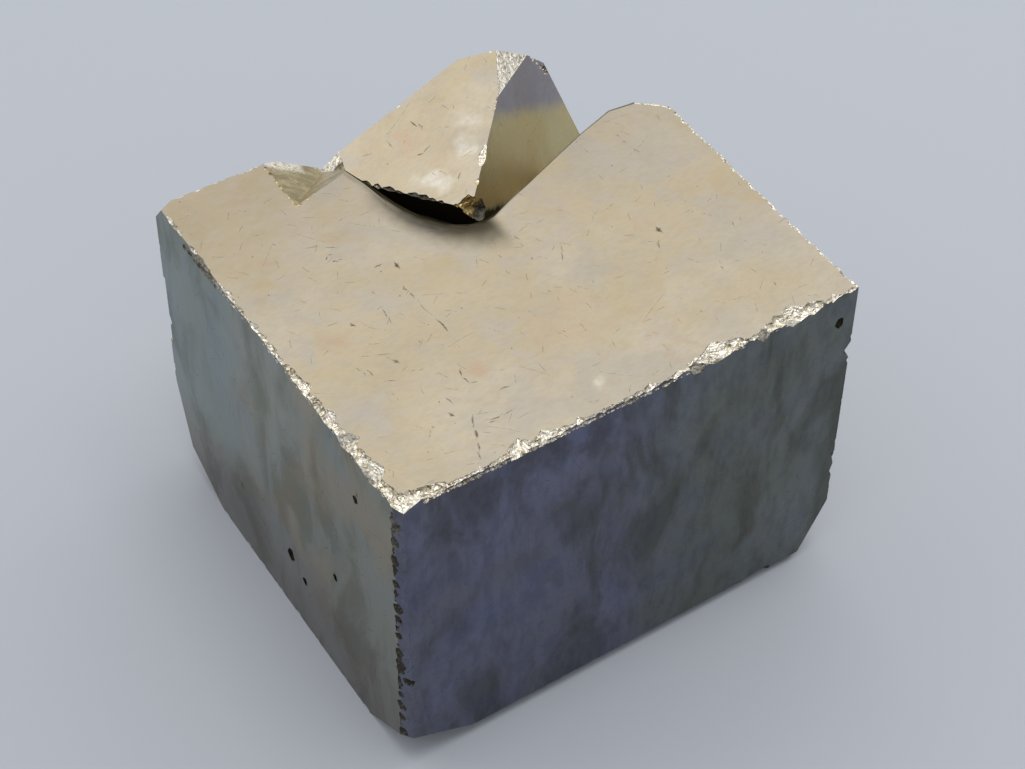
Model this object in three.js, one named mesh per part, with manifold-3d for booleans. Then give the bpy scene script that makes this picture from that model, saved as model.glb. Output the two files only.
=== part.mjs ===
// A pyrite specimen: one large cube with a small tilted cube grown into its top. The two share
// their matter, so they are one solid. Millimetres, +Z up, resting on the large cube's base.
// While it is built, the origin is near the foot of the large cube's front edge, +X runs along
// its front face and +Y along its left face. At the end it moves to the bottom centre of its box.
import * as THREE from 'three';
import { ConvexGeometry } from 'three/addons/geometries/ConvexGeometry.js';
import { mergeVertices } from 'three/addons/utils/BufferGeometryUtils.js';
import Module from 'manifold-3d';

const wasm = await Module();
wasm.setup();

const { degToRad, lerp } = THREE.MathUtils;

// ---- Large cube ----
const WIDTH = 51; // front face, left to right
const DEPTH = 45.2; // front to back
const HEIGHT = 38.2;
const FRONT_FLARE = 1.6; // how far the front face leans out at its foot
const LEFT_FACE = -0.2; // left face at the top of the front edge
const LEFT_LEAN = 0.45; // how far the left face leans out at the back
const LEFT_FLARE = 0.25; // how far the left face leans out at its foot
const RIGHT_LEAN = 0.6; // how far the right face leans in at the top
const FOOT_BEVEL = 1.5; // worn lower edge of the front face
const BACK_BEVEL = 1.2; // worn upper edge of the back face

// Three points on each of its leaning faces, worn edges and worn corners
const LARGE_FACES = {
  front: [[0, 0, HEIGHT], [WIDTH, 0.3, HEIGHT], [WIDTH / 2, -FRONT_FLARE, 0]],
  left: [
    [LEFT_FACE, 0, HEIGHT],
    [LEFT_FACE - LEFT_LEAN, DEPTH, HEIGHT],
    [LEFT_FACE - LEFT_FLARE, 0, 0],
  ],
  right: [
    [WIDTH - RIGHT_LEAN, 0, HEIGHT],
    [WIDTH - RIGHT_LEAN + 0.1, DEPTH / 2, HEIGHT],
    [WIDTH, 0, 8],
  ],
  back: [[0, DEPTH - 0.2, HEIGHT], [WIDTH, DEPTH + 0.1, HEIGHT], [0, DEPTH, 0]],
  frontEdge: [[0.35, 0, HEIGHT], [LEFT_FACE, 1.1, HEIGHT], [LEFT_FACE - 0.25, -0.4, 0]],
  frontFoot: [[0, -FRONT_FLARE, FOOT_BEVEL], [WIDTH, -FRONT_FLARE, FOOT_BEVEL], [0, -0.9, 0]],
  backTop: [
    [0, DEPTH, HEIGHT - BACK_BEVEL],
    [WIDTH, DEPTH, HEIGHT - BACK_BEVEL],
    [0, DEPTH - 0.9, HEIGHT],
  ],
  nearFootCorner: [[7.4, -FRONT_FLARE, 1.3], [0.1, -1.55, 4.5], [-0.2, 5.5, 0]],
  rightFootCorner: [[WIDTH, -1.1, 7.5], [47.5, -1.5, 0.5], [WIDTH, 4, 0]],
  leftTopCorner: [[-0.65, 43.5, HEIGHT], [-0.65, 45, HEIGHT - 2], [2, 44.9, HEIGHT]],
  leftFootCorner: [[-0.65, DEPTH - 0.2, 12], [-0.7, 42.5, 2.5], [2, DEPTH, 6]],
  leftFootTip: [[-0.7, 43, 4], [-0.6, 37, 0.2], [3, DEPTH, 1]],
};

// ---- Small cube ----
// Its nearest corner, how its front edge (the ridge) rises from there, and where it is broken
const TIP = [25.95, 29.72, 36.5];
const RIDGE_RISE = degToRad(20); // above the horizontal
const RIDGE_HEADING = degToRad(45.3); // from +X towards +Y
const RIDGE_ROLL = degToRad(-16.5); // about the ridge, from level
const LEFT_CORNER = [19.1, 42.5, 33.7]; // far end of the lower edge of its left face
const SMALL_EDGE = 24;
const SMALL_BACK = [[20, 45.9, 34], [44.5, 45.05, 36.2], [50, 45.1, 24]];
const BROKEN_END = [[34.5, 38.35, 40.9], [37.4, 43.3, 42.4], [41.8, 43.8, 39.5]];
const BROKEN_TOP = [[33.4, 45.4, 41.1], [37.4, 42.9, 42.5], [44.6, 45.1, 36.2]];
const BROKEN_SIDE = [[21.4, 45.8, 35.2], [19.4, 41.7, 33.9], [18.4, 45.8, 33]];

// ---- Recess that the small cube stands in ----
// The rounded edge round it: where it starts on top, where it turns into the wall, and its drop
const RECESS_RIM = [
  { rim: [14.8, 48], lip: [16.6, 48.4], drop: 5 },
  { rim: [16.4, 41], lip: [18.2, 41.6], drop: 5 },
  { rim: [17.3, 36.5], lip: [19.8, 37.6], drop: 5 },
  { rim: [17.6, 32.7], lip: [21.2, 34.4], drop: 5.5 },
  { rim: [18.3, 29.3], lip: [22.7, 31.9], drop: 6 },
  { rim: [19.8, 26.8], lip: [24.2, 29.9], drop: 5.5 },
  { rim: [21.7, 25.2], lip: [25.6, 28.7], drop: 4.5 },
  { rim: [23.6, 24.9], lip: [26.8, 27.9], drop: 3 },
  { rim: [25.6, 25.6], lip: [28, 27.8], drop: 2 },
  { rim: [28.3, 26.9], lip: [29.6, 28.2], drop: 1.2 },
  { rim: [31.5, 28.2], lip: [32, 28.8], drop: 0.6 },
  { rim: [35.4, 29.8], lip: [35.8, 30.3], drop: 0.5 },
  { rim: [40.2, 31.7], lip: [40.6, 32.2], drop: 0.5 },
  { rim: [44.6, 33.1], lip: [44.9, 33.7], drop: 0.6 },
  { rim: [47.6, 32.8], lip: [47.9, 33.5], drop: 0.7 },
  { rim: [49.8, 31], lip: [50.3, 31.7], drop: 0.7 },
  { rim: [53, 26], lip: [53, 27], drop: 0.7 },
  { rim: [56, 48], lip: [56, 48], drop: 6 },
];
const RIM_STEPS = 5; // facets round the rounded edge
const RIM_TURN = degToRad(85); // how far it turns down
const WALL_LEAN = [1, 2.2]; // how far the wall leans in at its foot
const WALL_FOOT = 8; // below the recess floor
const RECESS_FLOOR = [[24, 33, 32.5], [31, 30.5, 30.5], [48, 45.2, 18.5]];
const CLEAR = 8; // how far cutting shapes reach past the surface

// Little cubes in the foot of the recess: lowest corner, then size
const STEPS = [
  { at: [44, 33, 12], size: [4.5, 6.5, 13.2] },
  { at: [47.5, 33, 12], size: [8, 4.6, 15] },
  { at: [38.2, 31.5, 14], size: [5.2, 4.4, 13.6] },
  { at: [48.6, 38.5, 10], size: [8, 5, 11.5] },
];

// ---- Flake lost from the back of the top face: three points on each of its faces ----
const NOTCH = {
  front: [[10.9, 37.3, HEIGHT], [16.2, 38.8, HEIGHT], [13.2, 41, 35.7]],
  slope: [[10.9, 42, 38.1], [12.7, 45.2, 37.1], [18.8, 45.2, 33.1]],
  left: [[10.8, 37, HEIGHT], [10.8, 46, HEIGHT], [11.3, 41, 34]],
};

// ---- Shallow plates missing from the back face: lowest corner, then size ----
const BACK_LEDGES = [
  { at: [-2, DEPTH - 0.5, 19], size: [15, 2, 9] },
  { at: [22, DEPTH - 0.4, -1], size: [17, 2, 13] },
  { at: [33, DEPTH - 0.7, 14], size: [20, 2, 5] },
];

// ---- Larger chips ----
// Each group lies on one edge, with the same direction along it and out of it. A chip has its
// middle, its half-sizes along, across and out of the edge, and its depth below the edge.
const CHIP_GROUPS = [
  { // top edge of the left face
    along: [0, 1, 0.03],
    out: [-0.6, 0, 0.8],
    chips: [
      { at: [-0.1, 5, HEIGHT], half: [2.5, 3, 1.8], depth: 1.2 },
      { at: [0, 9.1, HEIGHT], half: [1.9, 2.5, 1.6], depth: 1 },
      { at: [-0.2, 12.6, HEIGHT], half: [2.6, 2, 1.4], depth: 0.85 },
      { at: [-0.3, 16.6, HEIGHT], half: [1.9, 1.6, 1.3], depth: 0.7 },
      { at: [-0.4, 21.9, HEIGHT], half: [1.1, 1.2, 1], depth: 0.55 },
      { at: [-0.4, 25.4, HEIGHT], half: [1.4, 1.2, 1.1], depth: 0.55 },
      { at: [-0.5, 30.2, HEIGHT], half: [1.1, 1, 1], depth: 0.5 },
    ],
  },
  { // flake under the top edge of the left face
    along: [0, 1, 0.05],
    out: [-1, 0, 0.25],
    chips: [{ at: [-0.6, 34.3, HEIGHT - 0.8], half: [4.4, 1.3, 1.2], depth: 0.5 }],
  },
  { // nearest top corner
    along: [0.87, -0.5, 0],
    out: [-0.3, -0.35, 1],
    chips: [{ at: [0.5, 0.3, HEIGHT], half: [3.6, 2.6, 1.6], depth: 0.9 }],
  },
  { // top edge of the front face
    along: [1, 0.05, 0],
    out: [0, -0.5, 0.85],
    chips: [
      { at: [4.4, 0, HEIGHT], half: [1.8, 1.2, 1.1], depth: 0.5 },
      { at: [12.4, 0.1, HEIGHT - 0.1], half: [2, 1.7, 1.3], depth: 0.85 },
      { at: [15, 0.1, HEIGHT], half: [1.5, 1.9, 1.4], depth: 0.9 },
      { at: [18.7, 0.1, HEIGHT], half: [1.1, 1, 0.9], depth: 0.45 },
      { at: [26.3, 0.2, HEIGHT], half: [1.3, 1.1, 1], depth: 0.5 },
      { at: [34.2, 0.3, HEIGHT], half: [2.7, 2.9, 1.9], depth: 1.2 },
      { at: [43.2, 0.4, HEIGHT], half: [2.4, 3, 1.8], depth: 1.15 },
      { at: [47.6, 0.3, HEIGHT], half: [1, 1, 0.9], depth: 0.45 },
    ],
  },
  { // nicks in the front face under its top edge
    along: [1, 0, 0],
    out: [0, -1, 0.35],
    chips: [
      { at: [31.6, 0.2, HEIGHT - 0.4], half: [1.2, 1.2, 1], depth: 0.6 },
      { at: [39.2, 0.2, HEIGHT - 0.5], half: [1, 1.1, 1], depth: 0.6 },
    ],
  },
  { // worn front edge
    along: [0, -0.04, 1],
    out: [-0.7, -0.7, 0],
    chips: [
      { at: [-0.2, 0.6, 35], half: [1.2, 0.9, 0.9], depth: 0.5 },
      { at: [0.1, -0.9, 13.2], half: [0.8, 0.9, 0.8], depth: 0.55 },
    ],
  },
  { // front right edge
    along: [0, 0, 1],
    out: [1, -0.6, 0],
    chips: [
      { at: [51, 0, 29.9], half: [1.5, 1.7, 1.6], depth: 1.2 },
      { at: [51, -0.4, 24.6], half: [1.6, 1.2, 1.2], depth: 0.45 },
      { at: [51, -1, 12.6], half: [2.2, 1.3, 1.2], depth: 0.5 },
    ],
  },
  { // back left edge
    along: [0, 0, 1],
    out: [-0.5, 1, 0],
    chips: [
      { at: [-0.7, DEPTH, 22.2], half: [1.6, 1.6, 1.5], depth: 1.1 },
      { at: [-0.7, DEPTH, 26.2], half: [2.6, 1.4, 1.3], depth: 0.7 },
      { at: [-0.7, DEPTH, 8], half: [3.4, 1.8, 1.8], depth: 1.5 },
    ],
  },
  { // foot of the front face
    along: [1, 0, 0],
    out: [0, -0.8, -0.6],
    chips: [
      { at: [42.5, -1.5, 0.4], half: [3.6, 1.8, 1.6], depth: 1.1 },
      { at: [24, -1.5, 0.2], half: [2.8, 1.3, 1.2], depth: 0.7 },
    ],
  },
  { // foot of the back face
    along: [1, 0, 0],
    out: [0, 0.8, -0.6],
    chips: [{ at: [30, DEPTH, 0], half: [4.5, 3, 2], depth: 1.6 }],
  },
  { // ridge and tip of the small cube
    along: [0.66, 0.67, 0.34],
    out: [0.1, -0.5, 0.85],
    chips: [
      { at: [29.9, 33.9, 38.5], half: [1.6, 1, 0.9], depth: 0.5 },
      { at: [28, 31.9, 37.6], half: [0.9, 0.8, 0.8], depth: 0.35 },
      { at: [26.1, 29.8, 36.3], half: [1.2, 1.3, 1.2], depth: 0.7 },
    ],
  },
];

// ---- Small pits in the left and front faces: middle, direction out and radius ----
const PITS = [
  { at: [-0.55, 20.75, 9.2], out: [-1, 0, 0], radius: 0.8 },
  { at: [-0.55, 18.1, 7.7], out: [-1, 0, 0], radius: 0.5 },
  { at: [-0.45, 11.7, 15.6], out: [-1, 0, 0], radius: 0.45 },
  { at: [-0.3, 7.3, 32], out: [-1, 0, 0], radius: 0.5 },
  { at: [48.6, 0.1, 34.4], out: [0, -1, 0], radius: 0.6 },
];

// ---- Small chips strewn along worn edges: ends of the edge, direction out, how many ----
const WORN_EDGES = [
  { from: [-0.3, 2, HEIGHT], to: [-0.7, 43, HEIGHT], out: [-1, 0, 1], count: 28 },
  { from: [3, 0, HEIGHT], to: [50, 0.3, HEIGHT], out: [0, -1, 1], count: 26 },
  { from: [50.4, 1, HEIGHT], to: [50.5, 28, HEIGHT], out: [1, 0, 1], count: 12 },
  { from: [-0.2, 1, 37], to: [-0.42, -0.3, 4], out: [-1, -0.6, 0], count: 18 },
  { from: [50.5, -0.1, 35], to: [51, -1.2, 9], out: [1, -1, 0], count: 9 },
  { from: [-0.7, DEPTH, 34], to: [-0.75, DEPTH, 14], out: [-1, 1, 0], count: 6 },
  { from: [51.2, DEPTH, 16], to: [51.3, DEPTH, 2], out: [1, 1, 0], count: 4 },
  { from: [2, DEPTH - 0.5, HEIGHT - 0.6], to: [10, DEPTH - 0.5, HEIGHT - 0.6], out: [0, 1, 1], count: 4 },
  { from: [-0.45, 6, 0], to: [-0.8, 36, 0], out: [-1, 0, -1], count: 8 },
  { from: [7, -1.2, 0.6], to: [46, -1, 0.6], out: [0, -1, -1], count: 9 },
  { from: [51.2, 5, 0], to: [51.4, 43, 0], out: [1, 0, -1], count: 8 },
  { from: [4, DEPTH, 0], to: [49, DEPTH, 0], out: [0, 1, -1], count: 8 },
  { from: [19.9, 41.2, 34], to: [25.4, 30.7, 36.3], out: [-0.75, -0.4, 0.1], count: 9 },
];
const WORN_CHIP = { least: 0.5, most: 1.1, stretch: 1.5, depth: 0.42, waver: 0.25 };

// A chip is a lump of this many corners, set evenly round a ball and then shaken
const CHIP_CORNERS = 13;
const GOLDEN_ANGLE = Math.PI * (3 - Math.sqrt(5));
const SHAKE_ROUND = 0.35;
const SHAKE_OUT = 0.12;

// Seeded pseudo-random numbers, so that the chips are always the same
let seed = 20;
function between(low, high) {
  seed = (seed * 1664525 + 1013904223) % 4294967296;
  return lerp(low, high, seed / 4294967296);
}

function vector(xyz) {
  return new THREE.Vector3(...xyz);
}

// A closed three.js geometry as a solid that can be joined and cut
function solid(geometry) {
  const bare = geometry.clone();
  bare.deleteAttribute('normal');
  bare.deleteAttribute('uv');
  const merged = mergeVertices(bare, 1e-5);
  return new wasm.Manifold(new wasm.Mesh({
    numProp: 3,
    vertProperties: new Float32Array(merged.attributes.position.array),
    triVerts: new Uint32Array(merged.index.array),
  }));
}

function block({ at, size }) {
  const box = new THREE.BoxGeometry(...size);
  box.translate(...at.map((low, axis) => low + size[axis] / 2));
  return solid(box);
}

// The plane through three points, with the point inside behind it
function face(points, inside) {
  const plane = new THREE.Plane().setFromCoplanarPoints(...points.map(vector));
  return plane.distanceToPoint(inside) > 0 ? plane.negate() : plane;
}

// The plane at a point, facing along a unit normal
function facing(normal, point) {
  return new THREE.Plane().setFromNormalAndCoplanarPoint(normal, point);
}

// Where three planes meet, or null where they don't
function meeting(a, b, c) {
  const bc = b.normal.clone().cross(c.normal);
  const volume = a.normal.dot(bc);
  if (Math.abs(volume) < 1e-4) return null;
  const ca = c.normal.clone().cross(a.normal);
  const ab = a.normal.clone().cross(b.normal);
  return bc.multiplyScalar(-a.constant)
    .addScaledVector(ca, -b.constant)
    .addScaledVector(ab, -c.constant)
    .divideScalar(volume);
}

// The solid behind all of the planes
function crystal(planes) {
  const corners = [];
  for (let i = 0; i < planes.length; i += 1) {
    for (let j = i + 1; j < planes.length; j += 1) {
      for (let k = j + 1; k < planes.length; k += 1) {
        const corner = meeting(planes[i], planes[j], planes[k]);
        const kept = corner && planes.every((plane) => plane.distanceToPoint(corner) < 1e-5);
        if (kept && corners.every((other) => other.distanceTo(corner) > 1e-4)) corners.push(corner);
      }
    }
  }
  return solid(new ConvexGeometry(corners));
}

const AXES = [[1, 0, 0], [0, 1, 0], [0, 0, 1]].map(vector);
const DOWN = vector([0, 0, -1]);

function largeCube() {
  const middle = vector([WIDTH / 2, DEPTH / 2, HEIGHT / 2]);
  return crystal([
    ...Object.values(LARGE_FACES).map((points) => face(points, middle)),
    facing(AXES[2], vector([0, 0, HEIGHT])),
    facing(DOWN, vector([0, 0, 0])),
  ]);
}

// The small cube, cut off in line with the large cube's back face and broken at two corners
function smallCube() {
  const turn = new THREE.Matrix4().makeRotationZ(RIDGE_HEADING);
  turn.multiply(new THREE.Matrix4().makeRotationY(-RIDGE_RISE));
  turn.multiply(new THREE.Matrix4().makeRotationX(RIDGE_ROLL));
  const [ridge, intoRightFace, leftFace] = [0, 1, 2].map((column) => (
    new THREE.Vector3().setFromMatrixColumn(turn, column)
  ));
  const tip = vector(TIP);
  const foot = tip.clone().addScaledVector(leftFace, -SMALL_EDGE);
  const inside = [ridge, intoRightFace, leftFace.clone().negate()].reduce(
    (point, direction) => point.addScaledVector(direction, SMALL_EDGE / 3),
    tip.clone(),
  );
  return crystal([
    facing(leftFace, tip),
    facing(intoRightFace.clone().negate(), tip),
    facing(leftFace.clone().negate(), foot),
    face([TIP, LEFT_CORNER, foot.toArray()], inside),
    ...[SMALL_BACK, BROKEN_END, BROKEN_TOP, BROKEN_SIDE].map((points) => face(points, inside)),
  ]);
}

// The space of the recess: rings of points round its rounded edge, then down its wall to its
// sloping floor, less the little cubes that grow there
function recess() {
  const rings = [RECESS_RIM.map(({ rim }) => [...rim, HEIGHT + CLEAR])];
  for (let step = 0; step <= RIM_STEPS; step += 1) {
    const turn = (step / RIM_STEPS) * RIM_TURN;
    rings.push(RECESS_RIM.map(({ rim, lip, drop }) => [
      lerp(rim[0], lip[0], Math.sin(turn)),
      lerp(rim[1], lip[1], Math.sin(turn)),
      HEIGHT - drop * (1 - Math.cos(turn)),
    ]));
  }
  rings.push(RECESS_RIM.map(({ lip }) => [lip[0] + WALL_LEAN[0], lip[1] + WALL_LEAN[1], WALL_FOOT]));

  const count = RECESS_RIM.length;
  const outline = RECESS_RIM.map(({ rim }) => new THREE.Vector2(...rim));
  const cap = THREE.ShapeUtils.triangulateShape(outline, []);
  const last = (rings.length - 1) * count;
  const triangles = [...cap, ...cap.map(([a, b, c]) => [a + last, c + last, b + last])];
  for (let here = 0; here < last; here += 1) {
    const next = here % count === count - 1 ? here + 1 - count : here + 1;
    triangles.push([here, here + count, next], [next, here + count, next + count]);
  }
  const geometry = new THREE.BufferGeometry();
  geometry.setAttribute('position', new THREE.Float32BufferAttribute(rings.flat(2), 3));
  geometry.setIndex(triangles.flat());

  const aboveFloor = crystal([
    face(RECESS_FLOOR, vector([WIDTH / 2, DEPTH / 2, HEIGHT * 2])),
    ...AXES.map((axis) => facing(axis, vector([WIDTH, DEPTH, HEIGHT]).multiplyScalar(1.5))),
    ...AXES.slice(0, 2).map((axis) => facing(axis.clone().negate(), vector([0, 0, 0]))),
  ]);
  return STEPS.map(block).reduce(
    (space, step) => space.subtract(step),
    solid(geometry).intersect(aboveFloor),
  );
}

function notch() {
  const within = vector([14, 43, HEIGHT + 2]);
  return crystal([
    ...Object.values(NOTCH).map((points) => face(points, within)),
    ...AXES.map((axis) => facing(axis, vector([WIDTH / 2, DEPTH + CLEAR, HEIGHT + CLEAR]))),
  ]);
}

// An uneven, flat-faced lump, stretched along an edge, that bites into it
function chip({ at, along, out, half, depth }) {
  const x = vector(along).normalize();
  const y = vector(out).cross(x).normalize();
  const z = x.clone().cross(y);
  const frame = new THREE.Matrix4().makeBasis(x, y, z);
  frame.setPosition(vector(at).addScaledVector(z, half[2] - depth));
  const corners = [];
  for (let i = 0; i < CHIP_CORNERS; i += 1) {
    const height = 1 - (2 * i + 1) / CHIP_CORNERS;
    const around = i * GOLDEN_ANGLE + between(-SHAKE_ROUND, SHAKE_ROUND);
    const ring = Math.sqrt(1 - height * height);
    const corner = new THREE.Vector3(ring * Math.cos(around), ring * Math.sin(around), height);
    corner.multiplyScalar(between(1 - SHAKE_OUT, 1 + SHAKE_OUT)).multiply(vector(half));
    corners.push(corner.applyMatrix4(frame));
  }
  return solid(new ConvexGeometry(corners));
}

function largeChips() {
  return CHIP_GROUPS.flatMap(({ along, out, chips }) => (
    chips.map((one) => chip({ along, out, ...one }))
  ));
}

function wornChips() {
  const { least, most, stretch, depth, waver } = WORN_CHIP;
  return WORN_EDGES.flatMap(({ from, to, out, count }) => {
    const start = vector(from);
    const run = vector(to).sub(start);
    return Array.from({ length: count }, (_, i) => {
      const at = start.clone().addScaledVector(run, (i + between(0.1, 0.9)) / count);
      const size = between(least, most);
      return chip({
        at: at.toArray(),
        along: run.toArray(),
        out: out.map((part) => part + between(-waver, waver)),
        half: [size * between(1, stretch), size, size],
        depth: size * depth,
      });
    });
  });
}

function pits() {
  return PITS.map(({ at, out, radius }) => chip({
    at,
    along: [0, 0, 1],
    out,
    half: [radius * 1.3, radius, radius],
    depth: radius,
  }));
}

// ---- The whole specimen ----
const lost = [...BACK_LEDGES.map(block), ...largeChips(), ...wornChips(), ...pits()];
const specimen = lost.reduce(
  (left, piece) => left.subtract(piece),
  largeCube().subtract(recess()).subtract(notch()).add(smallCube()),
);

// ---- The part, with its origin at the bottom centre of its box ----
const mesh = specimen.getMesh();
const geometry = new THREE.BufferGeometry();
geometry.setAttribute('position', new THREE.BufferAttribute(mesh.vertProperties, 3));
geometry.setIndex(new THREE.BufferAttribute(mesh.triVerts, 1));
geometry.computeBoundingBox();
const { min, max } = geometry.boundingBox;
geometry.translate(-(min.x + max.x) / 2, -(min.y + max.y) / 2, -min.z);

const pyrite = new THREE.MeshStandardMaterial({
  color: 0xb3a78c,
  metalness: 1,
  roughness: 0.3,
  flatShading: true,
});
const pyriteCube = new THREE.Mesh(geometry, pyrite);
pyriteCube.name = 'pyrite_cube';

const part = new THREE.Group();
part.add(pyriteCube);

export default part;
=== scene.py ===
"""Dresses the pyrite specimen: rough fracture along its worn edges, and its metallic finish.

Lengths in the tables are millimetres. Like the part's source, they count from the foot of the
large cube's front edge: +X along its front face, +Y along its left face and +Z up.
"""
import math
import random
from collections import Counter
from functools import reduce

import bmesh
import bpy
import numpy as np
from mathutils import Matrix, Vector, noise
from mathutils.geometry import delaunay_2d_cdt


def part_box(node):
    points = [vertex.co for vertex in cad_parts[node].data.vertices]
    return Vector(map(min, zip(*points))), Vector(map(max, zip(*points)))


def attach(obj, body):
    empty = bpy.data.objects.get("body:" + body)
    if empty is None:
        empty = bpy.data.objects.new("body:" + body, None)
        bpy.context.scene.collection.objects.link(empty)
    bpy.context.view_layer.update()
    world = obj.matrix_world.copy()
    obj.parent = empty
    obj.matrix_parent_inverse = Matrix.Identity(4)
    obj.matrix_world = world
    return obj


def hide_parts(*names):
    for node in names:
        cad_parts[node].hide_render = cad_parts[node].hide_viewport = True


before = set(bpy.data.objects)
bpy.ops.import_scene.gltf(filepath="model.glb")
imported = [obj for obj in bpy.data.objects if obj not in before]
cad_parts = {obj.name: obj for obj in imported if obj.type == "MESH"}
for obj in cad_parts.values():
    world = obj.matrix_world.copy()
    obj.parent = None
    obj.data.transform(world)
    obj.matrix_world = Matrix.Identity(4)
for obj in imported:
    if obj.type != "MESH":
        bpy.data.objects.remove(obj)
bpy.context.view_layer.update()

MM = 0.001
# The tables' origin, from the corner of the node's box
FOOT_OF_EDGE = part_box("pyrite_cube")[0] / MM + Vector((0.65, 1.6, 0))

# ---- Worn edges: ends, direction out of the edge, least and most size of a chip, how many ----
WEAR = [
    # top edge of the left face
    ((0.5, 0.8, 38.2), (0.3, 9, 38.2), (-0.6, 0, 1), 0.5, 1.3, 46),
    ((0.3, 9, 38.2), (0, 18.5, 38.2), (-0.7, 0, 1), 0.4, 1.1, 52),
    ((0, 18.5, 38.2), (-0.4, 31, 38.2), (-0.8, 0, 1), 0.3, 0.75, 56),
    ((-0.4, 31, 38.2), (-0.6, 43.3, 38.2), (-1, 0, 1), 0.25, 0.6, 40),
    ((-0.5, 29.5, 37.6), (-0.6, 40, 37.0), (-1, 0, 0.2), 0.3, 1.1, 44),
    ((-0.05, 2, 37.6), (-0.35, 30, 37.6), (-1, 0, 0.15), 0.12, 0.4, 110),
    # nearest top corner and the top edge of the front face
    ((0, 1.3, 38.1), (4.8, 0.5, 38.2), (-0.3, -0.6, 1), 0.5, 1.1, 34),
    ((4.6, 0.1, 38.2), (11, 0.1, 38.2), (0, -0.8, 1), 0.3, 0.75, 30),
    ((11, 0.2, 38.2), (17, 0.3, 38.2), (0, -0.7, 1), 0.4, 1.1, 30),
    ((17, 0.1, 38.2), (31, 0.2, 38.2), (0, -1, 1), 0.25, 0.65, 60),
    ((31, 0.5, 38.2), (37, 0.6, 38.2), (0, -0.6, 1), 0.5, 1.3, 34),
    ((37, 0.2, 38.2), (40.6, 0.2, 38.2), (0, -1, 1), 0.3, 0.8, 15),
    ((40.6, 0.6, 38.2), (45.5, 0.6, 38.2), (0, -0.6, 1), 0.5, 1.3, 30),
    ((45.5, 0.3, 38.2), (50.2, 0.3, 38.2), (0, -1, 1), 0.3, 0.7, 22),
    ((3, 0.15, 37.6), (46, 0.15, 37.6), (0, -1, 0.15), 0.12, 0.42, 190),
    # top edge of the right face
    ((50.4, 0.5, 38.2), (50.5, 30.5, 38.2), (1, 0, 1), 0.25, 0.7, 70),
    # upright edges
    ((-0.03, 1.07, 36.5), (-0.04, 1.02, 35.2), (-1, -0.6, 0), 0.2, 0.5, 7),
    ((-0.04, 0.99, 34.5), (-0.08, 0.75, 28.2), (-1, -0.6, 0), 0.15, 0.5, 34),
    ((-0.08, 0.72, 27.4), (-0.1, 0.62, 24.7), (-1, -0.6, 0), 0.15, 0.3, 8),
    ((-0.11, 0.54, 22.6), (-0.13, 0.44, 20.2), (-1, -0.6, 0), 0.15, 0.45, 11),
    ((-0.14, 0.37, 18.3), (-0.16, 0.25, 15.2), (-1, -0.6, 0), 0.15, 0.55, 16),
    ((-0.16, 0.2, 13.9), (-0.18, 0.11, 11.5), (-1, -0.6, 0), 0.2, 0.65, 9),
    ((-0.19, 0.01, 9), (-0.23, -0.22, 3), (-1, -0.6, 0), 0.15, 0.45, 16),
    ((50.4, 0, 37.5), (51, -1.2, 7.5), (1, -1, 0), 0.3, 0.7, 48),
    ((-0.7, 45.1, 36), (-0.75, 45.1, 12), (-1, 1, 0), 0.3, 0.8, 40),
    ((51.2, 45.1, 17), (51.4, 45.1, 1), (1, 1, 0), 0.3, 0.8, 26),
    # back of the top face and the notch
    ((0.5, 44.4, 38.1), (11, 44.4, 38.1), (0, 1, 1), 0.3, 0.7, 20),
    ((10.9, 44.3, 38), (10.9, 37.5, 38.2), (1, -0.3, 1), 0.2, 0.4, 12),
    ((10.9, 37.3, 38.2), (13.5, 38.0, 38.2), (0, 0.4, 1), 0.15, 0.35, 8),
    # feet
    ((-0.5, 5.5, 0), (-0.8, 37, 0), (-1, 0, -1), 0.3, 0.8, 44),
    ((7, -1, 0.2), (47.5, -0.9, 0.2), (0, -1, -1), 0.3, 0.8, 54),
    ((51.4, 4, 0), (51.6, 45, 0), (1, 0, -1), 0.3, 0.8, 46),
    ((3, 45.2, 0), (51, 45.2, 0), (0, 1, -1), 0.3, 0.9, 50),
    # small cube: lower edge of its left face, its ridge and its outline
    ((19.9, 41.2, 34), (26, 29.9, 36.4), (-0.7, -0.4, 0), 0.06, 0.2, 40),
    ((26.9, 31.1, 37.6), (34.6, 38.4, 40.8), (0.1, -0.5, 1), 0.08, 0.2, 34),
    ((29.2, 33.3, 38.7), (31.4, 35.2, 39.6), (0, -0.4, 1), 0.2, 0.5, 14),
    ((26.3, 30.9, 36.6), (27.6, 31, 35.4), (-0.13, -0.96, -0.2), 1.0, 1.3, 4),
    ((22, 45.6, 35.4), (33.4, 45.2, 41), (-0.2, 1, 1), 0.25, 0.6, 26),
    ((33.8, 44.6, 41.3), (37.2, 43, 42.4), (-0.2, 0.4, 1), 0.2, 0.5, 12),
    ((41.8, 43.8, 39.5), (48, 45, 31), (1, 1, 0.6), 0.25, 0.6, 20),
]
CHIP_DEPTH = 0.42  # how deep a chip bites, as a share of its size
CHIP_DEPTHS = (0.6, 1.2)  # least and most of that
CHIP_STRETCH = 1.6  # longest chip against its width
SMALL_CHIPS = 1.8  # power of the random share: small chips are likelier
CHIP_STRAY = (-0.4, 1.4)  # where a chip lies in its own share of the edge
OUT_SHAKE = 0.35  # of the direction that a chip is pushed out in
CORNER_SHAKE = 0.16  # of a lump's corners, as a share of its size

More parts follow.
